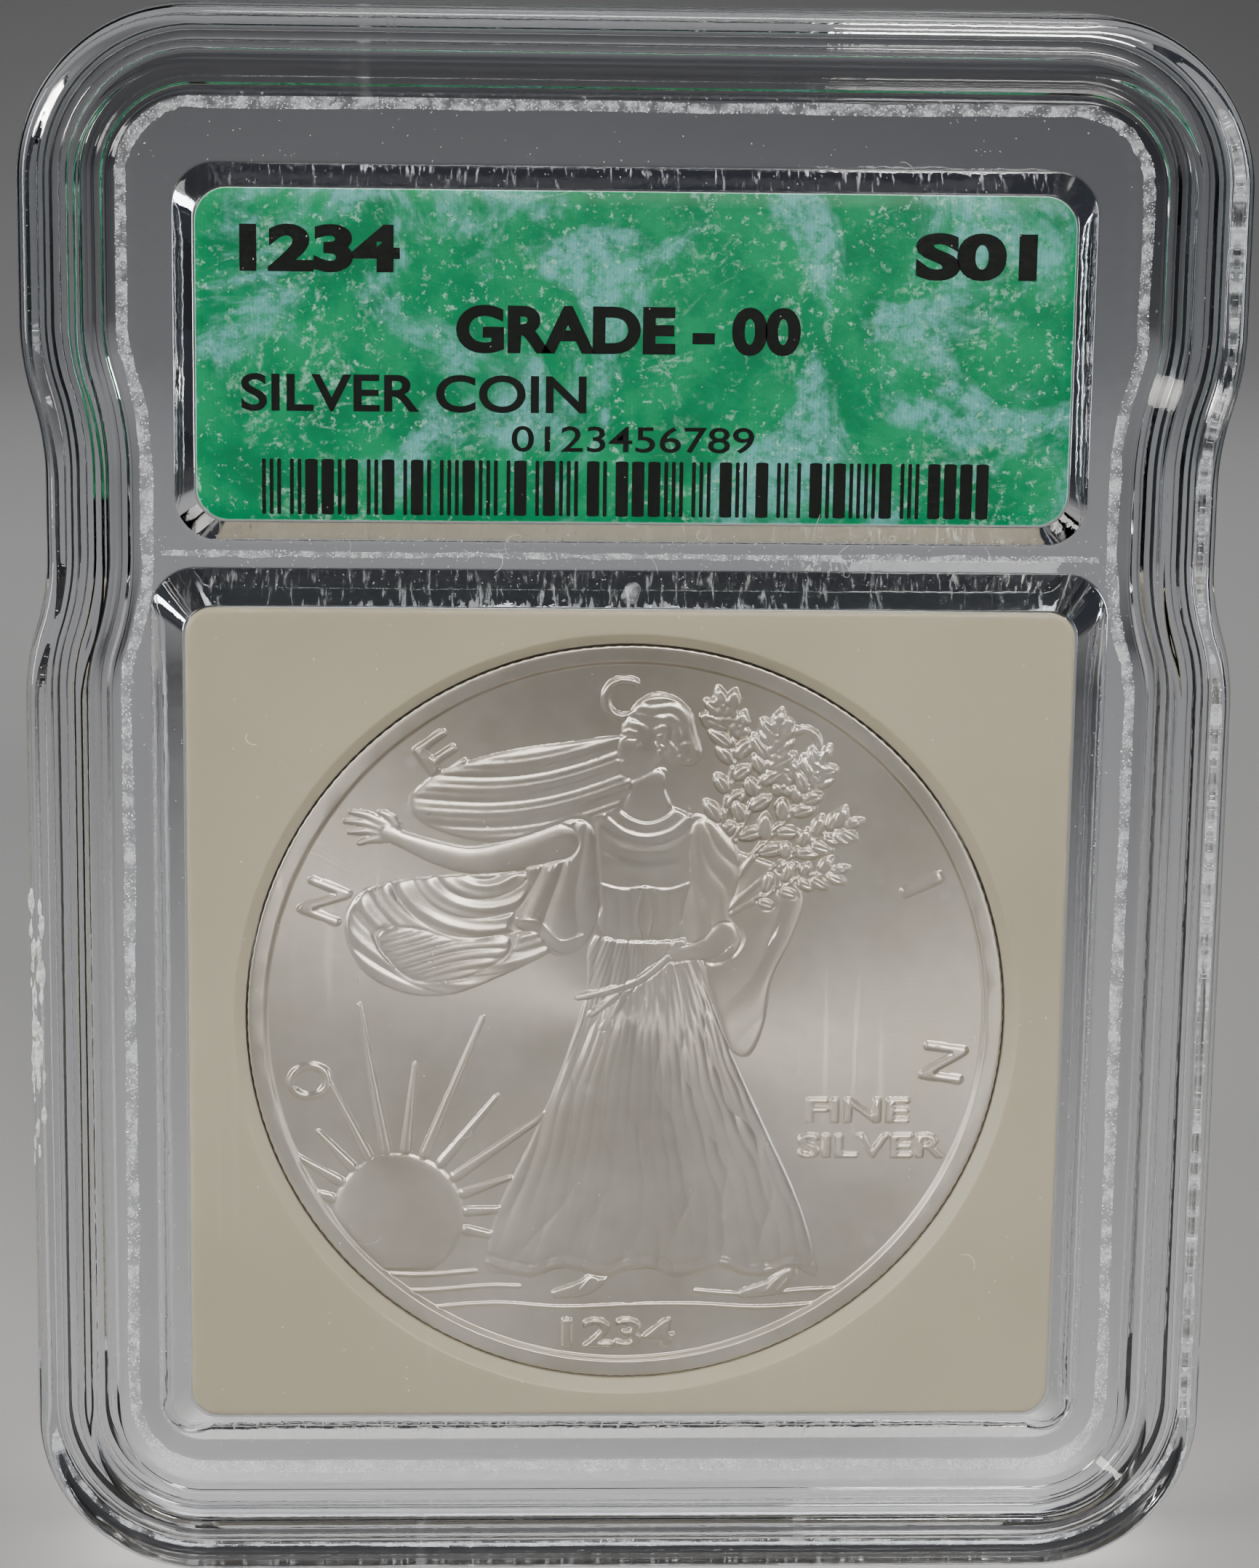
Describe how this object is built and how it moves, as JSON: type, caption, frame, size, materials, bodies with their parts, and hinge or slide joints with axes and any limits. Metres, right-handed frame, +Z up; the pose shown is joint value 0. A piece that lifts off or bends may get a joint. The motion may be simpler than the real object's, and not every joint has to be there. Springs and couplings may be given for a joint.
{
  "type": "graded coin slab",
  "caption": "Sealed clear plastic coin holder with a raised rim, a printed label card above and a silver coin in a rounded-square insert below.",
  "frame": {"origin": "centre of the base, at mid-thickness, on the surface the holder stands on", "axes": "+Z up the tall side toward the label, +X to the right as the face is read, +Y away from the viewer; the face with the label and the coin's obverse looks toward -Y"},
  "size_m": [0.0632, 0.0086, 0.084],
  "materials": {
    "clear_shell": "gloss",
    "weld": "matte",
    "insert": "satin",
    "silver": "satin",
    "label": "matte",
    "sticker": "gloss"
  },
  "bodies": {
    "root": {"front_shell": "clear_shell", "back_shell": "clear_shell", "outer_weld": "weld", "inner_weld": "weld", "coin_insert": "insert", "coin": "silver", "label_card": "label", "back_label": "sticker"}
  },
  "joints": []
}
